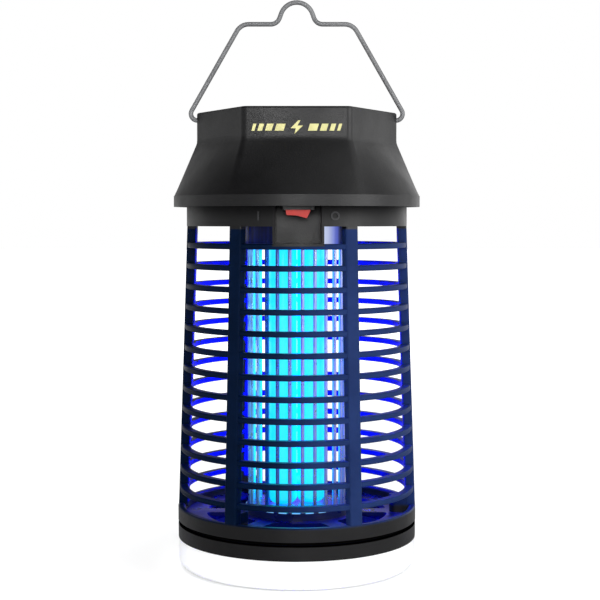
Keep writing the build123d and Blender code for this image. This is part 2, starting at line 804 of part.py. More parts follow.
with BuildPart() as lamp_pins:
    with BuildSketch(Plane.XY.offset(lamp_base_top - 3.9)):
        with PolarLocations(lamp_pin_x, 2, start_angle=lamp_turn):
            Circle(lamp_pin_radius)
    extrude(amount=10.9)
    chamfer(lamp_pins.edges().group_by(Axis.Z)[-1], 0.4)
lamp_pins.part.label = "lamp_pins"
export_step(lamp_pins.part, "parts/lamp_pins.step")

socket_bottom = 192.3
socket_top = 206.0
contact_x = 13.0
with BuildPart() as lamp_socket:
    with BuildSketch(Plane.XY.offset(socket_bottom)):
        RectangleRounded(33.6, 20.6, 1.8, rotation=lamp_turn)
    extrude(amount=socket_top - socket_bottom)
    with BuildSketch(Plane.XY.offset(chassis_top)):
        RectangleRounded(49.0, 24.0, 3.0, rotation=lamp_turn)
    extrude(amount=2.0)
    with BuildSketch(Plane.XY.offset(socket_bottom)):
        Rectangle(key_size + 0.8, key_size + 0.8, rotation=lamp_turn)
    extrude(amount=key_top - socket_bottom + 0.6, mode=Mode.SUBTRACT)
    with BuildSketch(Plane.XY.offset(socket_bottom)):
        with PolarLocations(lamp_pin_x, 2, start_angle=lamp_turn):
            Circle(lamp_pin_radius + 0.2)
    extrude(amount=8.0, mode=Mode.SUBTRACT)
    with BuildSketch(Plane.XY.offset(socket_top)):
        with PolarLocations(contact_x, 2, start_angle=lamp_turn):
            Rectangle(0.6, 4.4)
    extrude(amount=-12.0, mode=Mode.SUBTRACT)
    with BuildSketch(Plane.XY.offset(chassis_top)):
        with PolarLocations(socket_screw_x, 2, start_angle=lamp_turn):
            Circle(screw_clearance)
    extrude(amount=2.0, mode=Mode.SUBTRACT)
lamp_socket.part.label = "lamp_socket"
export_step(lamp_socket.part, "parts/lamp_socket.step")

contact_top = 209.0
with BuildPart() as socket_contacts:
    with BuildSketch(Plane.XY.offset(socket_top - 11.8)):
        with PolarLocations(contact_x, 2, start_angle=lamp_turn):
            Rectangle(0.5, 4.2)
    extrude(amount=contact_top - socket_top + 11.8)
socket_contacts.part.label = "socket_contacts"
export_step(socket_contacts.part, "parts/socket_contacts.step")

# ------------------------------------------------------------------ mains inlet
# Figure-of-eight recess for a detachable two-pin lead, let into the head's back face
inlet_face_y = head_apothem
inlet_flange = 1.6
inlet_back_y = 33.0
recess_depth = 13.0
recess_lobe = 4.1
with BuildPart() as power_inlet:
    with BuildSketch(Plane.XZ.offset(-inlet_face_y - inlet_flange)):
        with Locations((0, inlet_z)):
            RectangleRounded(inlet_flange_width, inlet_flange_height, inlet_flange_corner)
    extrude(amount=inlet_flange)
    with BuildSketch(Plane.XZ.offset(-inlet_face_y)):
        with Locations((0, inlet_z)):
            Rectangle(inlet_body_width, inlet_body_height)
    extrude(amount=inlet_face_y - inlet_back_y)
    with BuildSketch(Plane.XZ.offset(-inlet_face_y - inlet_flange)):
        with Locations((-inlet_pin_x, inlet_z), (inlet_pin_x, inlet_z)):
            Circle(recess_lobe)
        with Locations((0, inlet_z)):
            Rectangle(2 * inlet_pin_x, 1.4 * recess_lobe)
    extrude(amount=recess_depth, mode=Mode.SUBTRACT)
    with BuildSketch(Plane.XZ.offset(-inlet_back_y)):
        with Locations((-inlet_pin_x, inlet_z), (inlet_pin_x, inlet_z)):
            Circle(1.22)
    extrude(amount=-10.0, mode=Mode.SUBTRACT)
power_inlet.part.label = "power_inlet"
export_step(power_inlet.part, "parts/power_inlet.step")

inlet_pin_tip_y = inlet_face_y + inlet_flange - 3.0
inlet_tag_y = 27.0
with BuildPart() as inlet_pins:
    with BuildSketch(Plane.XZ.offset(-inlet_pin_tip_y)):
        with Locations((-inlet_pin_x, inlet_z), (inlet_pin_x, inlet_z)):
            Circle(1.2)
    extrude(amount=inlet_pin_tip_y - inlet_tag_y)
    fillet(inlet_pins.edges().group_by(Axis.Y)[-1], 0.7)
inlet_pins.part.label = "inlet_pins"
export_step(inlet_pins.part, "parts/inlet_pins.step")

# ------------------------------------------------------------------ circuit board
with BuildPart() as circuit_board:
    with BuildSketch(Plane.XY.offset(board_bottom)):
        RectangleRounded(board_x, board_y, 2.0)
        with GridLocations(2 * pillar_x, 2 * pillar_y, 2, 2):
            Circle(screw_clearance, mode=Mode.SUBTRACT)
    extrude(amount=board_top - board_bottom)
circuit_board.part.label = "circuit_board"
export_step(circuit_board.part, "parts/circuit_board.step")

# Ferrite core: outer frame with a middle leg; the coil sits round that leg
core_place = (-14.0, -9.0)
core_width = 20.0
core_depth = 7.0
core_height = 16.0
leg_width = 5.0
window_width = 4.5
window_height = 10.0
with BuildPart() as ballast_core:
    with BuildSketch(Plane.XZ.offset(-core_place[1] - core_depth / 2)):
        with Locations((core_place[0], board_top + core_height / 2)):
            Rectangle(core_width, core_height)
            with Locations(
                (-(leg_width + window_width) / 2, 0),
                ((leg_width + window_width) / 2, 0),
            ):
                Rectangle(window_width, window_height, mode=Mode.SUBTRACT)
    extrude(amount=core_depth)
ballast_core.part.label = "ballast_core"
export_step(ballast_core.part, "parts/ballast_core.step")

coil_height = 9.6
with BuildPart() as ballast_coil:
    with BuildSketch(Plane.XY.offset(board_top + (core_height - coil_height) / 2)):
        with Locations(core_place):
            RectangleRounded(leg_width + 2 * window_width - 0.4, 15.6, 2.0)
            Rectangle(leg_width + 0.4, core_depth + 0.4, mode=Mode.SUBTRACT)
    extrude(amount=coil_height)
ballast_coil.part.label = "ballast_coil"
export_step(ballast_coil.part, "parts/ballast_coil.step")

capacitor_radius = 5.0
with BuildPart() as smoothing_capacitor:
    with BuildSketch(Plane.XY.offset(board_top)):
        with Locations((6.5, -16.0)):
            Circle(capacitor_radius)
    extrude(amount=18.0)
    fillet(smoothing_capacitor.edges().group_by(Axis.Z)[-1], 0.8)
smoothing_capacitor.part.label = "smoothing_capacitor"
export_step(smoothing_capacitor.part, "parts/smoothing_capacitor.step")

with BuildPart() as multiplier_capacitors:
    with BuildSketch(Plane.XY.offset(board_top)):
        with Locations((22.0, -3.0)):
            with GridLocations(0, 8.0, 1, 4):
                RectangleRounded(13.0, 5.0, 0.6)
    extrude(amount=11.0)
    fillet(multiplier_capacitors.edges().group_by(Axis.Z)[-1], 0.5)
multiplier_capacitors.part.label = "multiplier_capacitors"
export_step(multiplier_capacitors.part, "parts/multiplier_capacitors.step")

with BuildPart() as rectifier_diodes:
    with Locations((6.0, 2.0, board_top)):
        with GridLocations(0, 4.2, 1, 4):
            add(axial_component(1.3, 5.0, 11.0, 2.2))
rectifier_diodes.part.label = "rectifier_diodes"
export_step(rectifier_diodes.part, "parts/rectifier_diodes.step")

with BuildPart() as bleed_resistors:
    with Locations((-12.0, 5.0, board_top)):
        with GridLocations(0, 4.6, 1, 2):
            add(axial_component(1.2, 6.3, 12.0, 2.2))
bleed_resistors.part.label = "bleed_resistors"
export_step(bleed_resistors.part, "parts/bleed_resistors.step")

# Glass fuse lying along X in two spring clips
fuse_x = -12.0
fuse_y = 15.0
fuse_z = board_top + 4.6
fuse_radius = 2.5
fuse_length = 20.0
fuse_cap_length = 5.5
with BuildPart() as fuse:
    with BuildSketch(Plane.YZ.offset(fuse_x - fuse_length / 2)):
        with Locations((fuse_y, fuse_z)):
            Circle(fuse_radius - 0.2)
    extrude(amount=fuse_length)
    for cap_start in (fuse_x - fuse_length / 2, fuse_x + fuse_length / 2 - fuse_cap_length):
        with BuildSketch(Plane.YZ.offset(cap_start)):
            with Locations((fuse_y, fuse_z)):
                Circle(fuse_radius)
        extrude(amount=fuse_cap_length)
fuse.part.label = "fuse"
export_step(fuse.part, "parts/fuse.step")

clip_width = 4.0
with BuildPart() as fuse_clips:
    for clip_start in (fuse_x - fuse_length / 2 + 0.8, fuse_x + fuse_length / 2 - 0.8 - clip_width):
        with BuildSketch(Plane.YZ.offset(clip_start)):
            with Locations((fuse_y, (board_top + fuse_z + 2.0) / 2)):
                Rectangle(2 * fuse_radius + 1.2, fuse_z + 2.0 - board_top)
            with Locations((fuse_y, fuse_z)):
                Circle(fuse_radius + 0.05, mode=Mode.SUBTRACT)
            with Locations((fuse_y, fuse_z + 1.5)):
                Rectangle(2 * fuse_radius - 0.6, 3.0, mode=Mode.SUBTRACT)
        extrude(amount=clip_width)
fuse_clips.part.label = "fuse_clips"
export_step(fuse_clips.part, "parts/fuse_clips.step")

block_x = -28.0
block_y = 4.0
block_width = 8.0
port_pitch = 5.0
with BuildPart() as terminal_block:
    with BuildSketch(Plane.XY.offset(board_top)):
        with Locations((block_x, block_y)):
            Rectangle(block_width, 16.0)
    extrude(amount=10.0)
    chamfer(terminal_block.edges().filter_by(Axis.Y).group_by(Axis.Z)[-1], 1.5)
    with BuildSketch(Plane.YZ.offset(block_x - block_width / 2)):
        with Locations((block_y, board_top + 4.6)):
            with GridLocations(port_pitch, 0, 3, 1):
                Circle(1.3)
    extrude(amount=5.0, mode=Mode.SUBTRACT)
terminal_block.part.label = "terminal_block"
export_step(terminal_block.part, "parts/terminal_block.step")

# ------------------------------------------------------------------ wires
mains_wire_radius = 0.9
lead_wire_radius = 0.7
port_z = board_top + 4.6
port_x = block_x - block_width / 2 + 2.0
switch_wire_y = switch_y + 1.9
switch_wire_z = 211.0
with BuildPart() as mains_wires:
    add(
        wire(
            [
                (-inlet_pin_x, inlet_tag_y - 0.1, inlet_z),
                (-inlet_pin_x, 20, inlet_z),
                (-41, block_y + port_pitch, 235),
                (-41, block_y + port_pitch, port_z),
                (port_x, block_y + port_pitch, port_z),
            ],
            mains_wire_radius,
            2.5,
        )
    )
    add(
        wire(
            [
                (inlet_pin_x, inlet_tag_y - 0.1, inlet_z),
                (inlet_pin_x, 20, inlet_z),
                (41, 8, 235),
                (41, -22, 222),
                (switch_x + terminal_x, -38, switch_wire_z),
                (switch_x + terminal_x, switch_wire_y, switch_wire_z),
            ],
            mains_wire_radius,
            3.0,
        )
    )
    add(
        wire(
            [
                (switch_x - terminal_x, switch_wire_y, switch_wire_z),
                (switch_x - terminal_x, -40, switch_wire_z),
                (-40, -26, 221),
                (-41, block_y, port_z),
                (port_x, block_y, port_z),
            ],
            mains_wire_radius,
            3.0,
        )
    )
mains_wires.part.label = "mains_wires"
export_step(mains_wires.part, "parts/mains_wires.step")

lamp_wire_x = contact_x + 1.05
lamp_y_dir = (-lamp_x_dir[1], lamp_x_dir[0])
lamp_wire_z = 207.6
board_wire_y = 28.5
board_wire_z = 219.0


def beside_contact(side, along):
    """Point on the lead that runs along the outer face of a socket contact."""
    return (
        side * lamp_wire_x * lamp_x_dir[0] + along * lamp_y_dir[0],
        side * lamp_wire_x * lamp_x_dir[1] + along * lamp_y_dir[1],
        lamp_wire_z,
    )


with BuildPart() as lamp_wires:
    for side in (-1, 1):
        add(
            wire(
                [
                    beside_contact(side, 1.5),
                    beside_contact(side, -6.0),
                    (side * lamp_wire_x, -board_wire_y, lamp_wire_z),
                    (side * lamp_wire_x, -board_wire_y, board_wire_z),
                    (side * lamp_wire_x, -22.0, board_wire_z),
                    (side * lamp_wire_x, -22.0, board_top + 0.05),
                ],
                lead_wire_radius,
                2.5,
            )
        )
lamp_wires.part.label = "lamp_wires"
export_step(lamp_wires.part, "parts/lamp_wires.step")

with BuildPart() as grid_wires:
    for x, y, z in (
        (-wire_hole_x, wire_a_y, washer_a_z + washer_thickness),
        (wire_hole_x, wire_b_y, washer_b_z + washer_thickness),
    ):
        add(
            wire(
                [
                    (x, y, z + 0.05),
                    (x, y, 209.0),
                    (x, board_wire_y, 209.0),
                    (x, board_wire_y, board_wire_z),
                    (x, 22.5, board_wire_z),
                    (x, 22.5, board_top + 0.05),
                ],
                lead_wire_radius,
                2.5,
            )
        )
grid_wires.part.label = "grid_wires"
export_step(grid_wires.part, "parts/grid_wires.step")

# ------------------------------------------------------------------ screws
with BuildPart() as housing_screws:
    with Locations((0, 0, lug_pad_bottom)):
        with GridLocations(2 * boss_x, 2 * boss_y, 2, 2):
            add(pan_screw(chassis_top - lug_pad_bottom + cap_screw_depth - 1.0))
housing_screws.part.label = "housing_screws"
export_step(housing_screws.part, "parts/housing_screws.step")

with BuildPart() as floor_screws:
    with Locations((0, 0, floor_bottom)):
        with PolarLocations(floor_boss_radius, 3, start_angle=bar_turn):
            add(pan_screw(10.0))
floor_screws.part.label = "floor_screws"
export_step(floor_screws.part, "parts/floor_screws.step")

with BuildPart() as lower_holder_screw:
    with Locations((0, 0, floor_bottom)):
        add(pan_screw(4.9))
lower_holder_screw.part.label = "lower_holder_screw"
export_step(lower_holder_screw.part, "parts/lower_holder_screw.step")

with BuildPart() as grid_holder_screws:
    with Locations((0, 0, chassis_bottom - flange_thickness)):
        with PolarLocations(holder_screw_circle, 3):
            add(pan_screw(8.0))
grid_holder_screws.part.label = "grid_holder_screws"
export_step(grid_holder_screws.part, "parts/grid_holder_screws.step")

with BuildPart() as socket_screws:
    with PolarLocations(socket_screw_x, 2, start_angle=lamp_turn):
        with Locations(Location((0, 0, chassis_top + 2.0), (180, 0, 0))):
            add(pan_screw(7.6))
socket_screws.part.label = "socket_screws"
export_step(socket_screws.part, "parts/socket_screws.step")

with BuildPart() as board_screws:
    with GridLocations(2 * pillar_x, 2 * pillar_y, 2, 2):
        with Locations(Location((0, 0, board_top), (180, 0, 0))):
            add(pan_screw(10.0))
board_screws.part.label = "board_screws"
export_step(board_screws.part, "parts/board_screws.step")
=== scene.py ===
import functools
import math
import bmesh
import bpy
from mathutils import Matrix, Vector


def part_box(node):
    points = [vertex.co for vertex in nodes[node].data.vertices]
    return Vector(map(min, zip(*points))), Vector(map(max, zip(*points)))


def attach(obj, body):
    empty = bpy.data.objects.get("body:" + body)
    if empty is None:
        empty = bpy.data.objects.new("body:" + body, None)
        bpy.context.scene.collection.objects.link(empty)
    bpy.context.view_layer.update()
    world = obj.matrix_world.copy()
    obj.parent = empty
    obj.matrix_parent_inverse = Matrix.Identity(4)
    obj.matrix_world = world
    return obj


# Electric bug zapper lantern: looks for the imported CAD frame. Metres, +Z up, front towards -Y.
MM = 0.001
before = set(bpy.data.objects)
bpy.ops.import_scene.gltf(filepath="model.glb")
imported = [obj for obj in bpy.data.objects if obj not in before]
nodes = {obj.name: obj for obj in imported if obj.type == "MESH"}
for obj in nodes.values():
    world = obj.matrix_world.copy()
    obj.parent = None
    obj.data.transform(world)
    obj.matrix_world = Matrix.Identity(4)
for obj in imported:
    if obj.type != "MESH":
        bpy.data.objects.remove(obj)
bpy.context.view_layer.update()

# ------------------------------------------------------------------ places taken from the frame
cap_low, cap_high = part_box("top_cap")
cage_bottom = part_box("cage")[0].z
collar_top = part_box("tray_collar")[1].z
cup_low, cup_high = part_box("tray_cup")
lamp_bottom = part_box("lamp_tubes")[0].z

# The cage is open between its bottom band, which stands above the floor plate, and its top ring
BAND_ABOVE_FLOOR = 4 * MM
RING_BELOW_HOLDER = 12 * MM
window_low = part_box("floor_plate")[1].z + BAND_ABOVE_FLOOR
window_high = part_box("upper_grid_holder")[1].z - RING_BELOW_HOLDER

# One shade passes into the next over this width
SOFT_EDGE = 0.3 * MM

# The grid's rods stand evenly round a circle, the first of them at this angle from +X
ROD_COUNT = 24
ROD_START_DEGREES = -83.3

# The switch pocket in the cage's front: a box that hangs below the top ring
POCKET_X = 0.8 * MM
POCKET_HALF_WIDTH = 13.2 * MM
POCKET_FRONT_Y = -43.0 * MM
POCKET_BOTTOM = 175.8 * MM

# Outer radius of the cage's top ring, and the radius from which a surface belongs to a raised switch mark
TOP_RING_RADIUS = 60.0 * MM
MARK_RADIUS = TOP_RING_RADIUS + 0.1 * MM

# The cage's painted lamp light: its left side is painted dark navy as shade and its right side bright
# navy as light, with the change between these
NAVY_CHANGE_X = 25 * MM

# Height under the cap's lip over which the top ring's gloss is turned down as painted shade from the lip
LIP_SHADE = 9 * MM

# Depth of the painted shade on both sides of the parting line between cage and tray
SHADED_LINE_DEPTH = 0.3 * MM

# Painted pale sheen on the upper rod holder, a painted reflection to the right of the pocket
SHEEN_LEFT_X = 13.0 * MM
SHEEN_RIGHT_X = 23.5 * MM
SHEEN_BACK_Y = -8 * MM

# Across the grid the rods are painted from aqua to deep blue to lilac, as painted reflections of the
# lamp's light
AQUA_END_X = -17 * MM
LILAC_START_X = 2 * MM

# The lamp's glow fades a little over this height at its lower end
LAMP_END_FADE = 16 * MM

# Inside of the cup: radius of its wall's inner face and height of its floor
CUP_INNER_RADIUS = 62.4 * MM
CUP_FLOOR = 2.2 * MM

# The head is a hexagon with corners on +X and -X, so its front face is flat across the middle
HEAD_CORNER = 55 * MM
head_face_y = -HEAD_CORNER * math.cos(math.radians(30))

# Colours used more than once: the shell's black, the painted shade in the parting line, the cup's white
MILKY_WHITE = (0.90, 0.91, 0.925)
SHELL_BLACK = (0.0034, 0.0034, 0.0038)
PARTING_LINE_SHADE = (0.0004, 0.0004, 0.0005)

# Strength of the blue light that the lamp throws on the pieces round it
LAMP_THROW = 60.0

# Printed emblem on the head: a bolt between two rows of slanted bars that get narrower outwards
EMBLEM_BELOW_TOP = 10.9 * MM
EMBLEM_RELIEF = 0.18 * MM
EMBLEM_SUNK = 0.02 * MM
EMBLEM_ROUNDING = 0.08 * MM
BOLT_WIDTH = 6.4 * MM
BOLT_HEIGHT = 7.0 * MM
BAR_WIDTHS = (4.6 * MM, 3.4 * MM, 2.4 * MM, 1.6 * MM)
BAR_HEIGHT = 3.6 * MM
BAR_SLANT = 1.1 * MM
BAR_GAP = 1.5 * MM
FIRST_BAR_X = 6.2 * MM

# Set and camera
FLOOR_HALF_WIDTH = 8.0
FLOOR_GAP = 0.05 * MM
LIGHT_AIM = (0.0, 0.0, 0.15)
CAMERA_PLACE = (0.0, -0.7445, 0.1889)
CAMERA_LENS = 81.43
CAMERA_PITCH_DEGREES = 3.358
CAMERA_YAW_DEGREES = -0.135


# ------------------------------------------------------------------ node tree helpers
class Tree:
    """The node tree of a material or world, with short calls for the nodes used here."""

    def __init__(self, owner, shader_name, coordinates):
        self.nodes = owner.node_tree.nodes
        self.links = owner.node_tree.links
        self.shader = self.nodes[shader_name]
        self.position = self.nodes.new("ShaderNodeTexCoord").outputs[coordinates]

    def link(self, source, target):
        self.links.new(source, target)

    def feed(self, socket, value):
        """Sets a socket to a number, a colour or another node's output."""
        if isinstance(value, bpy.types.NodeSocket):
            self.link(value, socket)
        elif isinstance(value, (tuple, list)):
            wanted = len(socket.default_value)
            socket.default_value = (*value, 1.0)[:wanted]
        else:
            socket.default_value = value

    def stretched(self, scale):
        """Object position with each axis scaled, for patterns drawn out along one of them."""
        node = self.nodes.new("ShaderNodeMapping")
        self.link(self.position, node.inputs["Vector"])
        node.inputs["Scale"].default_value = scale
        return node.outputs["Vector"]

    def noise(self, scale, detail=3.0, roughness=0.5, vector=None):
        node = self.nodes.new("ShaderNodeTexNoise")
        self.link(vector or self.position, node.inputs["Vector"])
        node.inputs["Scale"].default_value = scale
        node.inputs["Detail"].default_value = detail
        node.inputs["Roughness"].default_value = roughness
        return node.outputs["Fac"]

    def wave(self, scale, direction="Z", distortion=0.0, vector=None):
        node = self.nodes.new("ShaderNodeTexWave")
        self.link(vector or self.position, node.inputs["Vector"])
        node.bands_direction = direction
        node.inputs["Scale"].default_value = scale
        node.inputs["Distortion"].default_value = distortion
        return node.outputs["Fac"]

    def cells(self, scale):
        node = self.nodes.new("ShaderNodeTexVoronoi")
        self.link(self.position, node.inputs["Vector"])
        node.inputs["Scale"].default_value = scale
        return node.outputs["Distance"]

    def axis(self, name):
        node = self.nodes.new("ShaderNodeSeparateXYZ")
        self.link(self.position, node.inputs["Vector"])
        return node.outputs[name]

    def ray(self, kind):
        """1 for rays of one kind, such as Camera or Glossy, and 0 for all others."""
        return self.nodes.new("ShaderNodeLightPath").outputs[f"Is {kind} Ray"]

    def maths(self, operation, *values):
        node = self.nodes.new("ShaderNodeMath")
        node.operation = operation
        for socket, value in zip(node.inputs, values):
            self.feed(socket, value)
        return node.outputs["Value"]

    def product(self, *values):
        """All values multiplied together."""
        return functools.reduce(lambda first, second: self.maths("MULTIPLY", first, second), values)

    def vector_maths(self, operation, output, *vectors):
        node = self.nodes.new("ShaderNodeVectorMath")
        node.operation = operation
        for socket, vector in zip(node.inputs, vectors):
            self.link(vector, socket)
        return node.outputs[output]

    def off_axis(self):
        """Position seen from the lantern's upright axis, with no height."""
        return self.stretched((1.0, 1.0, 0.0))

    def radius(self):
        """Distance from the lantern's upright axis."""
        return self.vector_maths("LENGTH", "Value", self.off_axis())

    def span(self, value, low, high, out_low=0.0, out_high=1.0):
        """Value mapped smoothly from low..high to out_low..out_high."""
        node = self.nodes.new("ShaderNodeMapRange")
        node.interpolation_type = "SMOOTHSTEP"
        self.feed(node.inputs["Value"], value)
        for name, number in (
            ("From Min", low), ("From Max", high), ("To Min", out_low), ("To Max", out_high)
        ):
            self.feed(node.inputs[name], number)
        return node.outputs["Result"]

    def mix(self, factor, first, second):
        node = self.nodes.new("ShaderNodeMix")
        node.data_type = "RGBA"
        self.feed(node.inputs["Factor"], factor)
        colour_inputs = [socket for socket in node.inputs if socket.type == "RGBA"]
        self.feed(colour_inputs[0], first)
        self.feed(colour_inputs[1], second)
        return next(socket for socket in node.outputs if socket.type == "RGBA")

    def facing(self, blend=0.5, normal=None):
        """0 where the surface looks at the viewer, rising to 1 at its outline."""
        node = self.nodes.new("ShaderNodeLayerWeight")
        node.inputs["Blend"].default_value = blend
        if normal is not None:
            self.link(normal, node.inputs["Normal"])
        return node.outputs["Facing"]

    def facing_axis(self):
        """1 where the surface looks inwards at the lantern's upright axis, 0 where it looks away."""
        normal = self.nodes.new("ShaderNodeNewGeometry").outputs["Normal"]
        outwards = self.vector_maths("NORMALIZE", "Vector", self.off_axis())
        away = self.vector_maths("DOT_PRODUCT", "Value", normal, outwards)
        return self.span(away, -0.6, -0.2, 1.0, 0.0)

    def bump(self, height, strength, distance, before=None):
        node = self.nodes.new("ShaderNodeBump")
        self.link(height, node.inputs["Height"])
        node.inputs["Strength"].default_value = strength
        node.inputs["Distance"].default_value = distance
        if before is not None:
            self.link(before, node.inputs["Normal"])
        return node.outputs["Normal"]

    def set(self, **values):
        """Sets the shader's inputs; underscores stand for spaces in their names."""
        for name, value in values.items():
            self.feed(self.shader.inputs[name.replace("_", " ")], value)


class Material(Tree):
    """A new material with a principled shader, placed by the piece's own coordinates."""

    def __init__(self, name):
        self.material = bpy.data.materials.new(name)
        self.material.use_nodes = True
        super().__init__(self.material, "Principled BSDF", "Object")


def worn(tree, colour, amount=0.12):
    """A colour with slight cloudy variation, darker and lighter by the amount."""
    darker = tuple(c * (1 - amount) for c in colour)
    lighter = tuple(min(1.0, c * (1 + amount)) for c in colour)
    cloud = tree.noise(140.0, 4.0, 0.6)
    return tree.mix(tree.span(cloud, 0.35, 0.65), darker, lighter)


def moulded(name, colour, roughness=0.42, grain=900.0, depth=0.035, specular=0.5, variation=0.12):
    """Injection-moulded plastic: fine spark-eroded grain, slight flow clouds and handling shine."""
    tree = Material(name)
    fine = tree.noise(grain, 2.0, 0.7)
    cells = tree.cells(grain * 1.6)
    smear = tree.noise(38.0, 5.0, 0.55)
    tree.set(
        Base_Color=worn(tree, colour, variation),
        Roughness=tree.span(smear, 0.3, 0.7, roughness - 0.06, roughness + 0.08),
        Specular_IOR_Level=specular,
        Normal=tree.bump(cells, depth, 0.0004, tree.bump(fine, depth * 1.4, 0.0006)),
    )
    return tree


def drawn_metal(name, colour, roughness, axis_scale, along_scratches=0.2):
    """Drawn or rolled metal: streaks along its length and cloudy dulling."""
    tree = Material(name)
    streak = tree.noise(1.0, 3.0, 0.6, tree.stretched(axis_scale))
    cloud = tree.noise(90.0, 4.0, 0.6)
    tree.set(
        Base_Color=tree.mix(tree.span(streak, 0.3, 0.7), tuple(c * 0.82 for c in colour), colour),
        Metallic=1.0,
        Roughness=tree.span(cloud, 0.3, 0.7, roughness, roughness + 0.12),
        Normal=tree.bump(streak, along_scratches, 0.0001),
    )
    return tree


def paint(material, *names):
    """Gives CAD nodes a material in place of their packed one."""
    for name in names:
        mesh = nodes[name].data
        mesh.materials.clear()
        mesh.materials.append(material)


def smooth_by_angle(names, degrees=32.0):
    """Smooth shading, with edges over the angle kept sharp."""
    for name in names:
        mesh = nodes[name].data
        mesh.shade_smooth()
        mesh.set_sharp_from_angle(angle=math.radians(degrees))


# ------------------------------------------------------------------ materials of the shell
def cap_material():
    """Black satin plastic of the cap, with a fine grain."""
    tree = moulded("cap_plastic", SHELL_BLACK, 0.42, 1100.0, 0.10, 0.42)
    return tree.material


def base_material():
    """Black satin plastic of the collar round the tray, with painted shade at its top edge, in the
    parting line.
    """
    tree = moulded("collar_plastic", SHELL_BLACK, 0.40, 1100.0, 0.05, 0.34)
    # Painted shade: near-black with no gloss at the top edge, in the parting line
    line_start = collar_top - SHADED_LINE_DEPTH
    below_line = tree.span(tree.axis("Z"), line_start - 0.4 * MM, line_start, 1.0, 0.0)
    tree.set(
        Specular_IOR_Level=tree.product(below_line, 0.34),
        Base_Color=tree.mix(below_line, PARTING_LINE_SHADE, worn(tree, SHELL_BLACK)),
    )
    return tree.material


def cage_material():
    """Black plastic, painted navy between the bands as the lamp's light: dark navy on the left as painted
    shade, bright navy on the right, and deep blue on the faces that look inwards at the lamp.
    """
    tree = moulded("cage_plastic", (0.011, 0.011, 0.012), 0.42, 1100.0, 0.05)
    height = tree.axis("Z")
    above_band = tree.span(height, window_low - 1 * MM, window_low + 1 * MM)
    below_ring = tree.span(height, window_high - 1 * MM, window_high, 1.0, 0.0)
    open_part = tree.product(above_band, below_ring)
    off_middle = tree.maths("ABSOLUTE", tree.maths("SUBTRACT", tree.axis("X"), POCKET_X))
    beside_pocket = tree.span(off_middle, POCKET_HALF_WIDTH, POCKET_HALF_WIDTH + SOFT_EDGE)
    behind_pocket = tree.span(tree.axis("Y"), POCKET_FRONT_Y, POCKET_FRONT_Y + 2 * MM)
    under_pocket = tree.span(height, POCKET_BOTTOM - SOFT_EDGE, POCKET_BOTTOM, 1.0, 0.0)
    off_pocket = tree.maths("MAXIMUM", tree.maths("MAXIMUM", beside_pocket, behind_pocket), under_pocket)
    window = tree.product(open_part, off_pocket)
    cloud = tree.noise(45.0, 4.0, 0.6)
    # Painted lamp light: dark navy on the left as painted shade, bright navy on the right as painted
    # light
    shade = tree.span(tree.axis("X"), -NAVY_CHANGE_X, NAVY_CHANGE_X)
    shaded_navy = tree.mix(tree.span(cloud, 0.3, 0.7), (0.0002, 0.0038, 0.015), (0.0004, 0.0052, 0.022))
    lit_navy = tree.mix(tree.span(cloud, 0.3, 0.7), (0.009, 0.021, 0.080), (0.013, 0.029, 0.104))
    navy = tree.mix(shade, shaded_navy, lit_navy)
    # Painted lamp light: deep blue on the faces that look inwards at the lamp
    blue = tree.mix(tree.span(cloud, 0.3, 0.7), (0.003, 0.008, 0.13), (0.004, 0.012, 0.20))
    navy = tree.mix(tree.facing_axis(), navy, blue)
    black = worn(tree, (0.0030, 0.0030, 0.0034))
    near_marks = tree.span(tree.radius(), MARK_RADIUS, MARK_RADIUS + 0.1 * MM)
    on_top_ring = tree.span(height, window_high, window_high + 1 * MM)
    on_marks = tree.product(near_marks, on_top_ring, off_pocket)
    black = tree.mix(on_marks, black, (0.022, 0.022, 0.024))
    # Painted shade: the cage's foot goes near-black with no gloss in the parting line
    line_end = cage_bottom + SHADED_LINE_DEPTH
    above_line = tree.span(height, line_end, line_end + SOFT_EDGE)
    black = tree.mix(above_line, PARTING_LINE_SHADE, black)
    # Painted shade: gloss turned down under the cap's lip
    under_lip = tree.span(height, cap_low.z - LIP_SHADE, cap_low.z - 0.5 * MM, 0.36, 0.08)
    gloss = tree.span(window, 0.0, 1.0, under_lip, 0.03)
    tree.set(
        Base_Color=tree.mix(window, black, navy),
        Specular_IOR_Level=tree.product(gloss, above_line),
        Roughness=tree.span(cloud, 0.3, 0.7, 0.34, 0.46),
    )
    return tree.material


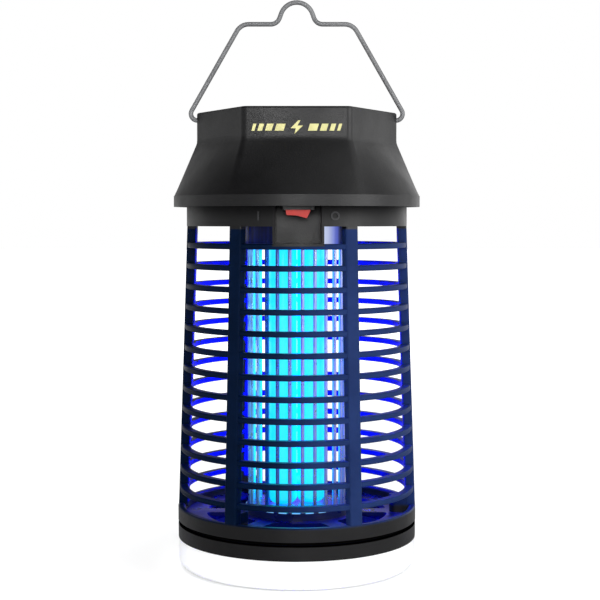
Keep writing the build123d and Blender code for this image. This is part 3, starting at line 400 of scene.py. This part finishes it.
def cup_material():
    """Milky translucent plastic of the tray with a faint painted white glow outside; its inside is
    painted deep blue as the lamp's light.

    Its rim, hidden in the parting line, is painted near-black as shade.
    """
    tree = moulded("cup_plastic", MILKY_WHITE, 0.34, 700.0, 0.03, 0.5, 0.015)
    inner_floor = cup_low.z + CUP_FLOOR
    over_floor = tree.span(tree.axis("Z"), inner_floor - 0.1 * MM - SOFT_EDGE, inner_floor - 0.1 * MM)
    wall_start = CUP_INNER_RADIUS - 0.5 * MM
    off_wall = tree.span(tree.radius(), wall_start - 1 * MM, wall_start, 1.0, 0.0)
    inside = tree.maths("MAXIMUM", tree.product(over_floor, off_wall), tree.facing_axis())
    outside = tree.maths("SUBTRACT", 1.0, inside)
    # Painted shade: the rim in the parting line goes near-black with no gloss
    rim_start = cup_high.z - SHADED_LINE_DEPTH
    below_rim = tree.span(tree.axis("Z"), rim_start - SOFT_EDGE, rim_start, 1.0, 0.0)
    white = worn(tree, MILKY_WHITE, 0.015)
    # Painted lamp light: the inside is painted deep blue
    colour = tree.mix(outside, (0.01, 0.02, 0.30), white)
    tree.set(
        Subsurface_Weight=0.6,
        Subsurface_Radius=(0.008, 0.008, 0.009),
        Subsurface_Scale=1.0,
        Base_Color=tree.mix(below_rim, (0.001, 0.001, 0.001), colour),
        Specular_IOR_Level=tree.product(below_rim, 0.5),
        Coat_Weight=tree.product(below_rim, 0.15),
        Coat_Roughness=0.2,
        # Painted light: a faint white glow on the outside
        Emission_Color=(1.0, 1.0, 1.0),
        Emission_Strength=tree.product(outside, below_rim, 0.14),
    )
    return tree.material


def seal_material():
    """Dull black rubber with a dusty bloom."""
    tree = moulded("seal_rubber", (0.0012, 0.0012, 0.0014), 0.78, 600.0, 0.12, 0.04, 0.3)
    return tree.material


def bail_material():
    """Drawn steel wire with slow changes of tarnish, painted near-black at its outline as shade; a bevel
    softens its facets.
    """
    tree = Material("bail_wire")
    tarnish = tree.noise(55.0, 2.0, 0.5)
    rounded = tree.nodes.new("ShaderNodeBevel")
    rounded.samples = 8
    rounded.inputs["Radius"].default_value = 0.9 * MM
    steel = tree.mix(tree.span(tarnish, 0.3, 0.7), (0.13, 0.132, 0.136), (0.18, 0.183, 0.188))
    # Painted shade: the wire goes near-black towards its outline
    edge = tree.span(tree.facing(0.5, rounded.outputs["Normal"]), 0.25, 0.75)
    tree.set(
        Normal=rounded.outputs["Normal"],
        Base_Color=tree.mix(edge, steel, (0.012, 0.012, 0.013)),
        Metallic=0.25,
        Roughness=tree.span(tarnish, 0.3, 0.7, 0.46, 0.54),
    )
    return tree.material


def rocker_material():
    """Satin red switch plastic, painted a little darker towards its outline as shade."""
    tree = Material("rocker_plastic")
    # Painted shade: darker red towards the outline
    edge = tree.facing(0.35)
    cloud = tree.noise(160.0, 3.0, 0.6)
    base = tree.mix(tree.span(cloud, 0.3, 0.7), (0.36, 0.017, 0.012), (0.42, 0.024, 0.017))
    tree.set(
        Base_Color=tree.mix(tree.span(edge, 0.2, 0.9), base, (0.26, 0.010, 0.007)),
        Roughness=tree.span(cloud, 0.3, 0.7, 0.42, 0.52),
        Specular_IOR_Level=0.35,
        Subsurface_Weight=0.08,
        Subsurface_Radius=(0.002, 0.0005, 0.0003),
        Normal=tree.bump(tree.noise(1500.0, 2.0), 0.03, 0.0003),
    )
    return tree.material


def switch_body_material():
    """Black plastic of the switch and the mains inlet."""
    tree = moulded("switch_plastic", (0.003, 0.003, 0.0034), 0.36, 1400.0, 0.03, 0.30)
    return tree.material


# ------------------------------------------------------------------ materials of the lamp and grid
def lamp_material():
    """Lit phosphor tube: cyan glow, paler along its middle; it throws deep blue light on the cage."""
    tree = Material("lamp_phosphor")
    powder = tree.noise(260.0, 5.0, 0.65)
    drift = tree.noise(22.0, 3.0, 0.5, tree.stretched((1.0, 1.0, 0.35)))
    rim = tree.facing(0.5)
    cyan = tree.mix(tree.span(powder, 0.3, 0.7), (0.00, 0.74, 0.98), (0.00, 0.84, 1.0))
    pale = tree.mix(tree.span(drift, 0.35, 0.65), (0.00, 0.86, 1.0), (0.06, 0.90, 1.0))
    edge = tree.mix(tree.span(drift, 0.3, 0.7), (0.00, 0.36, 0.90), (0.01, 0.46, 0.94))
    glow = tree.mix(tree.span(rim, 0.05, 0.25), pale, cyan)
    glow = tree.mix(tree.span(rim, 0.62, 0.92), glow, edge)
    end_fade = tree.span(tree.axis("Z"), lamp_bottom, lamp_bottom + LAMP_END_FADE, 0.85, 1.0)
    mirrored = tree.ray("Glossy")
    looked_at = tree.maths("MAXIMUM", tree.ray("Camera"), mirrored)
    seen = tree.maths("ADD", tree.product(end_fade, 0.98), tree.product(mirrored, 1.8))
    thrown = tree.product(tree.maths("SUBTRACT", 1.0, looked_at), LAMP_THROW)
    tree.set(
        Base_Color=(0.02, 0.10, 0.16),
        Roughness=0.22,
        Emission_Color=tree.mix(looked_at, (0.0, 0.035, 1.0), glow),
        Emission_Strength=tree.maths("ADD", tree.product(looked_at, seen), thrown),
    )
    return tree.material


def grid_material():
    """Drawn steel rods with die lines, painted aqua, deep blue and lilac across the grid as reflections
    of the lamp's light.
    """
    tree = drawn_metal("grid_rods", (0.30, 0.46, 0.74), 0.24, (700.0, 700.0, 40.0), 0.15)
    die_lines = tree.noise(1.0, 3.0, 0.6, tree.stretched((700.0, 700.0, 40.0)))
    # Painted reflections of the lamp's light: aqua on the left, deep blue in the middle, lilac on the
    # right
    deep = tree.mix(die_lines, (0.010, 0.07, 0.30), (0.03, 0.16, 0.50))
    lilac = tree.mix(die_lines, (0.34, 0.42, 0.72), (0.50, 0.56, 0.84))
    aqua = tree.mix(die_lines, (0.16, 0.62, 0.86), (0.40, 0.82, 0.95))
    across = tree.axis("X")
    left = tree.mix(tree.span(across, AQUA_END_X - 3 * MM, AQUA_END_X), aqua, deep)
    tree.set(Base_Color=tree.mix(tree.span(across, AQUA_END_X + 1 * MM, LILAC_START_X), left, lilac))
    return tree.material


def upper_holder_material():
    """Dark plastic of the upper rod holder, painted navy as the lamp's light: upright streaks, and a
    painted pale sheen to the right as a painted reflection.
    """
    # The navy is painted lamp light on the dark plastic
    tree = moulded("upper_holder_plastic", (0.004, 0.010, 0.060), 0.20, 900.0, 0.02, 0.12, 0.10)
    streak = tree.noise(1.0, 3.0, 0.6, tree.stretched((260.0, 260.0, 12.0)))
    across = tree.axis("X")
    # Painted reflection: a pale sheen to the right of the pocket, made with emission
    start = tree.span(across, SHEEN_LEFT_X, SHEEN_LEFT_X + 1.5 * MM)
    end = tree.span(across, SHEEN_RIGHT_X - 2.5 * MM, SHEEN_RIGHT_X, 1.0, 0.0)
    in_front = tree.span(tree.axis("Y"), SHEEN_BACK_Y - 4 * MM, SHEEN_BACK_Y, 1.0, 0.0)
    sheen = tree.product(start, end, in_front)
    fade = tree.span(across, SHEEN_LEFT_X + 2 * MM, SHEEN_RIGHT_X - 1.5 * MM)
    tree.set(
        Base_Color=tree.mix(tree.span(streak, 0.35, 0.65), (0.002, 0.006, 0.04), (0.004, 0.012, 0.09)),
        Emission_Color=tree.mix(fade, (0.62, 0.70, 0.96), (0.10, 0.14, 0.62)),
        Emission_Strength=tree.maths("MULTIPLY", sheen, tree.span(streak, 0.3, 0.7, 0.75, 1.0)),
    )
    return tree.material


def lower_holder_material():
    """Dark plastic of the lower rod holder, painted navy as the lamp's light; its top edge has painted
    glints between the rods.
    """
    # The navy is painted lamp light on the dark plastic
    tree = moulded("lower_holder_plastic", (0.004, 0.010, 0.060), 0.30, 900.0, 0.02, 0.35, 0.10)
    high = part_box("lower_grid_holder")[1]
    turn = tree.maths("ARCTAN2", tree.axis("Y"), tree.axis("X"))
    # two whole turns more keep the angle positive
    from_rod = tree.maths("ADD", turn, 4 * math.pi - math.radians(ROD_START_DEGREES))
    phase = tree.maths("FRACT", tree.maths("DIVIDE", from_rod, 2 * math.pi / ROD_COUNT))
    clear = tree.maths("ABSOLUTE", tree.maths("SUBTRACT", phase, 0.5))
    between_rods = tree.span(clear, 0.26, 0.34, 1.0, 0.0)
    on_edge = tree.span(tree.axis("Z"), high.z - 0.55 * MM, high.z - 0.40 * MM)
    outer = tree.span(tree.radius(), high.x - 0.5 * MM, high.x - 0.35 * MM)
    # Painted highlight: glints of lamp light on the top edge between the rods
    glint = tree.product(between_rods, on_edge, outer)
    tree.set(Emission_Color=(0.20, 0.55, 1.0), Emission_Strength=tree.product(glint, 0.9))
    return tree.material


def lamp_plastic_material():
    """White heat-resistant plastic of the lamp's cap and socket."""
    tree = moulded("lamp_base_plastic", (0.74, 0.74, 0.71), 0.36, 900.0, 0.03, 0.5, 0.04)
    return tree.material


def floor_material():
    """Dark plastic of the floor and its skirt, painted deep blue as the lamp's light."""
    # The deep blue is painted lamp light on the dark plastic
    tree = moulded("floor_plastic", (0.002, 0.005, 0.075), 0.30, 1100.0, 0.04, 0.10)
    return tree.material


def brass_material():
    """Rolled brass of the pins, blades and springs."""
    tree = drawn_metal("contact_brass", (0.80, 0.60, 0.28), 0.25, (400.0, 400.0, 120.0), 0.1)
    return tree.material


def screw_material():
    """Zinc-plated steel with turning marks round the head."""
    tree = drawn_metal("zinc_screws", (0.62, 0.63, 0.65), 0.30, (300.0, 300.0, 900.0), 0.3)
    return tree.material


# ------------------------------------------------------------------ materials of the electronics
def board_material():
    """Green lacquered laminate with copper tracks showing through it."""
    tree = Material("board_laminate")
    track = tree.wave(95.0, "X", 6.0, tree.stretched((1.0, 0.6, 1.0)))
    weave = tree.cells(1400.0)
    tree.set(
        Base_Color=tree.mix(tree.span(track, 0.62, 0.70), (0.012, 0.12, 0.045), (0.03, 0.22, 0.08)),
        Roughness=tree.span(weave, 0.0, 0.6, 0.25, 0.40),
        Normal=tree.bump(track, 0.25, 0.0002, tree.bump(weave, 0.1, 0.0001)),
    )
    return tree.material


def ferrite_material():
    """Grey sintered ferrite with a rough grain."""
    tree = moulded("ferrite", (0.045, 0.043, 0.043), 0.55, 1600.0, 0.2, 0.5, 0.25)
    return tree.material


def coil_material():
    """Enamelled copper turns wound level over each other."""
    tree = Material("copper_turns")
    turns = tree.wave(620.0, "Z", 0.3)
    tree.set(
        Base_Color=tree.mix(turns, (0.24, 0.07, 0.02), (0.80, 0.34, 0.13)),
        Metallic=0.85,
        Roughness=0.28,
        Normal=tree.bump(turns, 0.9, 0.0003),
    )
    return tree.material


def sleeve_material():
    """Dark shrunk sleeve with a pale stripe down one side and a bare aluminium top."""
    tree = Material("capacitor_sleeve")
    low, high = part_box("smoothing_capacitor")
    stripe = tree.span(tree.axis("Y"), low.y + 1.2 * MM, low.y + 1.0 * MM)
    top = tree.span(tree.axis("Z"), high.z - 0.5 * MM, high.z - 0.3 * MM)
    body = tree.mix(stripe, (0.012, 0.02, 0.09), (0.62, 0.64, 0.68))
    tree.set(
        Base_Color=tree.mix(top, body, (0.7, 0.7, 0.72)),
        Metallic=top,
        Roughness=tree.span(tree.noise(120.0), 0.3, 0.7, 0.26, 0.40),
        Normal=tree.bump(tree.noise(500.0, 3.0), 0.08, 0.0003),
    )
    return tree.material


def film_material():
    """Glossy red-brown dipped coat of the film capacitors."""
    tree = moulded("dipped_film", (0.46, 0.055, 0.03), 0.24, 500.0, 0.10, 0.5, 0.10)
    return tree.material


def banded_material(name, body, band, pitch, share):
    """Axial component with bands of a second colour that follow each other along X."""
    tree = Material(name)
    rings = tree.wave(pitch, "X")
    tree.set(
        Base_Color=tree.mix(tree.span(rings, share, share + 0.05), body, band),
        Roughness=tree.span(tree.noise(300.0), 0.3, 0.7, 0.28, 0.42),
        Normal=tree.bump(tree.noise(900.0), 0.06, 0.0002),
    )
    return tree.material


def fuse_material():
    """Clear fuse glass between two plated end caps."""
    tree = Material("fuse_body")
    low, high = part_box("fuse")
    middle = (low.x + high.x) / 2
    offset = tree.maths("ABSOLUTE", tree.maths("SUBTRACT", tree.axis("X"), middle))
    capped = tree.span(offset, (high.x - middle) - 5.6 * MM, (high.x - middle) - 5.4 * MM)
    tree.set(
        Base_Color=tree.mix(capped, (0.80, 0.90, 0.90), (0.72, 0.72, 0.74)),
        Metallic=capped,
        Roughness=tree.span(tree.noise(200.0), 0.3, 0.7, 0.08, 0.2),
        Transmission_Weight=tree.span(capped, 0.0, 1.0, 0.85, 0.0),
    )
    return tree.material


def lead_material(name, colour):
    """Wire insulation: soft shine, slight scuffs along the lead."""
    tree = moulded(name, colour, 0.36, 800.0, 0.06, 0.45, 0.10)
    return tree.material


# ------------------------------------------------------------------ emblem on the front of the head
def bolt_outline(width, height):
    """Corner points of a plain lightning bolt, centred on the origin."""
    steps = (
        (0.12, 0.50), (-0.50, -0.08), (-0.08, -0.08), (-0.20, -0.50),
        (0.50, 0.12), (0.06, 0.12), (0.30, 0.50),
    )
    return [(x * width, z * height) for x, z in steps]


def bar_outline(centre_x, width, height, slant):
    """Corner points of a slanted bar."""
    low = (centre_x - width / 2 - slant / 2, -height / 2)
    return [
        low,
        (low[0] + width, -height / 2),
        (low[0] + width + slant, height / 2),
        (low[0] + slant, height / 2),
    ]


def emblem():
    """Raised printed emblem on the head's flat front face: a bolt between two rows of slanted bars."""
    centre_z = cap_high.z - EMBLEM_BELOW_TOP
    mesh = bmesh.new()
    outlines = [bolt_outline(BOLT_WIDTH, BOLT_HEIGHT)]
    for side in (-1, 1):
        reach = FIRST_BAR_X
        for width in BAR_WIDTHS:
            outlines.append(bar_outline(side * (reach + width / 2), width, BAR_HEIGHT, BAR_SLANT))
            reach += width + BAR_GAP
    for outline in outlines:
        lower = [mesh.verts.new((x, head_face_y + EMBLEM_SUNK, centre_z + z)) for x, z in outline]
        face = mesh.faces.new(lower)
        if face.normal.y > 0:
            face.normal_flip()
        raised = bmesh.ops.extrude_face_region(mesh, geom=[face])
        verts = [v for v in raised["geom"] if isinstance(v, bmesh.types.BMVert)]
        bmesh.ops.translate(mesh, verts=verts, vec=(0.0, -EMBLEM_RELIEF, 0.0))
    bmesh.ops.recalc_face_normals(mesh, faces=mesh.faces)
    data = bpy.data.meshes.new("emblem_bolt")
    mesh.to_mesh(data)
    mesh.free()
    piece = bpy.data.objects.new("emblem_bolt", data)
    bpy.context.scene.collection.objects.link(piece)
    rounding = piece.modifiers.new("rounding", "BEVEL")
    rounding.width = EMBLEM_ROUNDING
    rounding.segments = 2
    piece.data.materials.append(emblem_material())
    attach(piece, "housing")


def emblem_material():
    """Pale yellow pad-printed ink, slightly uneven, with a satin surface."""
    tree = Material("emblem_ink")
    speck = tree.noise(1200.0, 4.0, 0.7)
    cloud = tree.noise(200.0, 3.0, 0.6)
    ink = tree.mix(tree.span(cloud, 0.3, 0.7), (0.46, 0.43, 0.17), (0.56, 0.53, 0.23))
    tree.set(
        Base_Color=tree.mix(tree.span(speck, 0.66, 0.72), ink, (0.34, 0.31, 0.12)),
        Roughness=tree.span(cloud, 0.3, 0.7, 0.38, 0.5),
        Normal=tree.bump(speck, 0.12, 0.0002),
    )
    return tree.material


# ------------------------------------------------------------------ set: floor, light, camera
def studio_floor():
    """Wide pale floor under the foot: it glows far away and looks grey when mirrored."""
    half = FLOOR_HALF_WIDTH
    data = bpy.data.meshes.new("studio_floor")
    corners = [(-half, -half, 0.0), (half, -half, 0.0), (half, half, 0.0), (-half, half, 0.0)]
    data.from_pydata(corners, [], [(0, 1, 2, 3)])
    floor = bpy.data.objects.new("studio_floor", data)
    floor.location.z = -FLOOR_GAP
    bpy.context.scene.collection.objects.link(floor)
    tree = Material("floor_paint")
    cloud = tree.noise(3.0, 4.0, 0.5)
    distance = tree.vector_maths("LENGTH", "Value", tree.position)
    pale = tree.mix(cloud, (0.93, 0.93, 0.93), (0.95, 0.95, 0.95))
    tree.set(
        Base_Color=tree.mix(tree.ray("Glossy"), pale, (0.26, 0.26, 0.27)),
        Roughness=0.8,
        Specular_IOR_Level=0.1,
        Emission_Color=(1.0, 1.0, 1.0),
        Emission_Strength=tree.span(distance, 0.25, 1.6),
    )
    data.materials.append(tree.material)
    return floor


def studio_world():
    """White for the camera; mirrored, it is dim overhead and to the left, bright to the right."""
    world = bpy.data.worlds.new("studio")
    bpy.context.scene.world = world
    world.use_nodes = True
    tree = Tree(world, "Background", "Generated")
    height = tree.axis("Z")
    diffuse = tree.span(height, 0.25, 0.75, 1.0, 0.2)
    right = tree.span(tree.axis("X"), -0.55, 0.45, 0.08, 1.15)
    behind = tree.span(tree.axis("Y"), -0.2, 0.6, 0.0, 0.5)
    sides = tree.maths("MAXIMUM", right, behind)
    mirrored = tree.product(sides, tree.span(height, 0.15, 0.75, 1.0, 0.30))
    change = tree.maths("SUBTRACT", mirrored, diffuse)
    lighting = tree.maths("MULTIPLY_ADD", tree.ray("Glossy"), change, diffuse)
    tree.set(Color=(1.0, 1.0, 1.0), Strength=tree.maths("MAXIMUM", lighting, tree.ray("Camera")))


def soft_light(name, place, size, power, in_mirror=True):
    """Square soft white light at a place, aimed at the lantern."""
    data = bpy.data.lights.new(name, "AREA")
    data.shape = "SQUARE"
    data.size = size
    data.energy = power
    light = bpy.data.objects.new(name, data)
    bpy.context.scene.collection.objects.link(light)
    light.location = place
    direction = Vector(LIGHT_AIM) - Vector(place)
    light.rotation_euler = direction.to_track_quat("-Z", "Y").to_euler()
    light.visible_glossy = in_mirror
    light.visible_camera = False


def keep_lamp_light_inside(lamp, floor):
    """The lamp's blue light falls on the lantern's own pieces only, not on the floor."""
    receivers = bpy.data.collections.new("lamp_receivers")
    receivers.objects.link(floor)
    receivers.collection_objects[0].light_linking.link_state = "EXCLUDE"
    lamp.light_linking.receiver_collection = receivers


def photo_camera():
    """Camera in front of the lantern, level with its upper half, looking slightly down."""
    data = bpy.data.cameras.new("camera")
    data.sensor_width = 36.0
    data.lens = CAMERA_LENS
    data.clip_start = 0.01
    camera = bpy.data.objects.new("camera", data)
    bpy.context.scene.collection.objects.link(camera)
    camera.location = CAMERA_PLACE
    camera.rotation_euler = (
        math.radians(90.0 - CAMERA_PITCH_DEGREES), 0.0, math.radians(CAMERA_YAW_DEGREES)
    )
    bpy.context.scene.camera = camera


# ------------------------------------------------------------------ put together
paint(cap_material(), "top_cap")
paint(base_material(), "tray_collar", "chassis_plate")
paint(cage_material(), "cage")
paint(cup_material(), "tray_cup")
paint(seal_material(), "tray_seal")
paint(bail_material(), "bail_handle")
paint(rocker_material(), "switch_rocker")
paint(switch_body_material(), "switch_body", "power_inlet")
paint(lamp_material(), "lamp_tubes")
paint(grid_material(), "grid_electrode_a", "grid_electrode_b")
paint(upper_holder_material(), "upper_grid_holder")
paint(lower_holder_material(), "lower_grid_holder")
paint(lamp_plastic_material(), "lamp_base", "lamp_socket")
paint(floor_material(), "floor_plate")
paint(brass_material(), "lamp_pins", "socket_contacts", "switch_terminals", "inlet_pins", "fuse_clips")
paint(
    screw_material(),
    "housing_screws", "floor_screws", "lower_holder_screw", "grid_holder_screws", "socket_screws",
    "board_screws",
)
paint(board_material(), "circuit_board")
paint(ferrite_material(), "ballast_core")
paint(coil_material(), "ballast_coil")
paint(sleeve_material(), "smoothing_capacitor")
paint(film_material(), "multiplier_capacitors")
paint(
    banded_material("diode_body", (0.02, 0.02, 0.022), (0.6, 0.6, 0.62), 60.0, 0.9),
    "rectifier_diodes",
)
paint(
    banded_material("resistor_body", (0.62, 0.48, 0.30), (0.16, 0.07, 0.03), 190.0, 0.75),
    "bleed_resistors",
)
paint(fuse_material(), "fuse")
paint(moulded("block_plastic", (0.40, 0.42, 0.43), 0.4, 900.0, 0.05).material, "terminal_block")
paint(lead_material("mains_insulation", (0.05, 0.05, 0.055)), "mains_wires")
paint(lead_material("lamp_insulation", (0.70, 0.70, 0.68)), "lamp_wires")
paint(lead_material("grid_insulation", (0.50, 0.05, 0.04)), "grid_wires")
smooth_by_angle(nodes)

emblem()
floor = studio_floor()
studio_world()
keep_lamp_light_inside(nodes["lamp_tubes"], floor)
soft_light("overhead", (0.0, 0.1, 1.6), 1.6, 26.0, in_mirror=False)
soft_light("key_right", (1.25, -0.75, 0.55), 0.9, 9.0)
soft_light("fill_left", (-1.3, -0.7, 0.45), 0.9, 4.0, in_mirror=False)
soft_light("front_card", (0.03, -1.45, 0.42), 0.40, 5.5)
photo_camera()
scene = bpy.context.scene
scene.view_settings.view_transform = "Standard"
scene.view_settings.look = "None"
scene.cycles.max_bounces = 8
